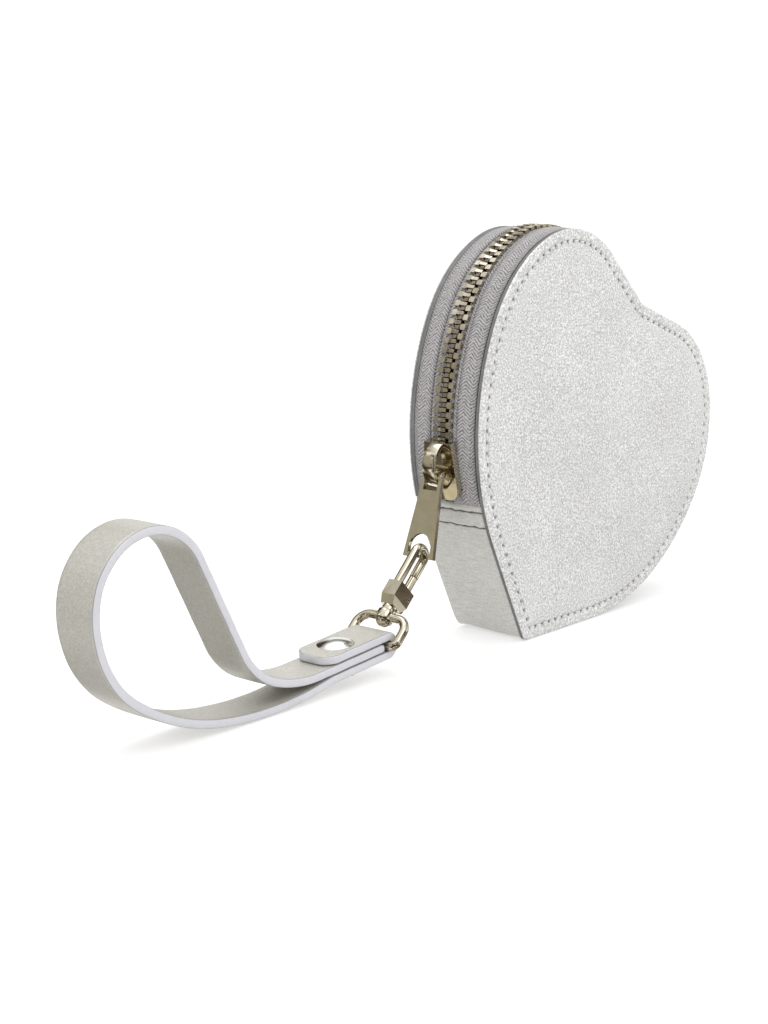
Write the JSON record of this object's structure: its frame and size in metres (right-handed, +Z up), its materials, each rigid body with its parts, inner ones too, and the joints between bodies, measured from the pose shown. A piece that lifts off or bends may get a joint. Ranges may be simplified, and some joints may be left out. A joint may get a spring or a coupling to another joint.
{
  "type": "heart shaped coin purse",
  "caption": "Small heart-shaped leather purse that zips round its lobes, with a trigger clasp on the zip puller holding a folded, riveted wrist strap.",
  "frame": {"origin": "bottom centre of the bounding box: on the table, midway along the length from the strap loop to the right lobe, in the middle of the purse thickness", "axes": "+X to the right along the length, from the strap loop toward the heart; +Y to the rear, through the thickness of the purse, so the front panel faces -Y; +Z up. The heart stands on its right lower flank with its point to the left."},
  "size_m": [0.2274, 0.0226, 0.1042],
  "materials": {
    "silver_leather": "metallic silver, fine pebble grain, soft sheen",
    "edge_leather": "dark grey painted edge",
    "gusset_leather": "metallic silver, smooth grain",
    "lining": "plain woven lining, matte",
    "zip_tape": "lilac grey woven tape",
    "zip_teeth": "aged pale gold, dull",
    "hardware": "pale antique gold, polished",
    "strap_leather": "metallic silver faces with pale lilac painted edges",
    "rivet": "satin silver"
  },
  "bodies": {
    "purse": {"front_panel": "silver_leather", "rear_panel": "silver_leather", "front_backing": "edge_leather", "rear_backing": "edge_leather", "front_lining": "lining", "rear_lining": "lining", "gusset_strip": "gusset_leather", "gusset_lining": "lining", "front_tape": "zip_tape", "rear_tape": "zip_tape", "front_teeth": "zip_teeth", "rear_teeth": "zip_teeth", "top_stops": "zip_teeth", "bottom_stop": "zip_teeth"},
    "slider": {"slider_body": "hardware", "slider_crown": "hardware"},
    "puller": {"zip_puller": "hardware"},
    "clasp": {"clasp_hook": "hardware", "gate_pin": "hardware", "gate_spring": "hardware", "swivel_post": "hardware"},
    "gate": {"clasp_gate": "hardware"},
    "ring": {"swivel_ring": "hardware"},
    "strap": {"wrist_strap": "strap_leather", "rivet_cap": "rivet", "rivet_post": "rivet"}
  },
  "joints": [
    {"name": "slider_travel", "type": "hinge", "parent": "purse", "child": "slider", "pos_m": [0.06764, 0, 0.05471], "axis": [0, 1, 0], "range_deg": [0, 28], "deforming": ["front_teeth", "rear_teeth"]},
    {"name": "puller_swing", "type": "hinge", "parent": "slider", "child": "puller", "pos_m": [0.0014, 0, 0.04526], "axis": [0, 1, 0], "range_deg": [-15, 62]},
    {"name": "clasp_swing", "type": "hinge", "parent": "puller", "child": "clasp", "pos_m": [-0.00428, 0, 0.02546], "axis": [0, 1, 0], "range_deg": [-50, 32]},
    {"name": "gate_swing", "type": "hinge", "parent": "clasp", "child": "gate", "pos_m": [-0.01091, 0, 0.01595], "axis": [0, -1, 0], "range_deg": [0, 16], "stiffness_Nm_per_rad": 0.03},
    {"name": "ring_swivel", "type": "hinge", "parent": "clasp", "child": "ring", "pos_m": [-0.01708, 0, 0.0128], "axis": [-0.711, 0, -0.7032], "continuous": true},
    {"name": "strap_swing", "type": "hinge", "parent": "ring", "child": "strap", "pos_m": [-0.02234, 0, 0.0076], "axis": [0, 1, 0], "range_deg": [-60, 30]}
  ]
}
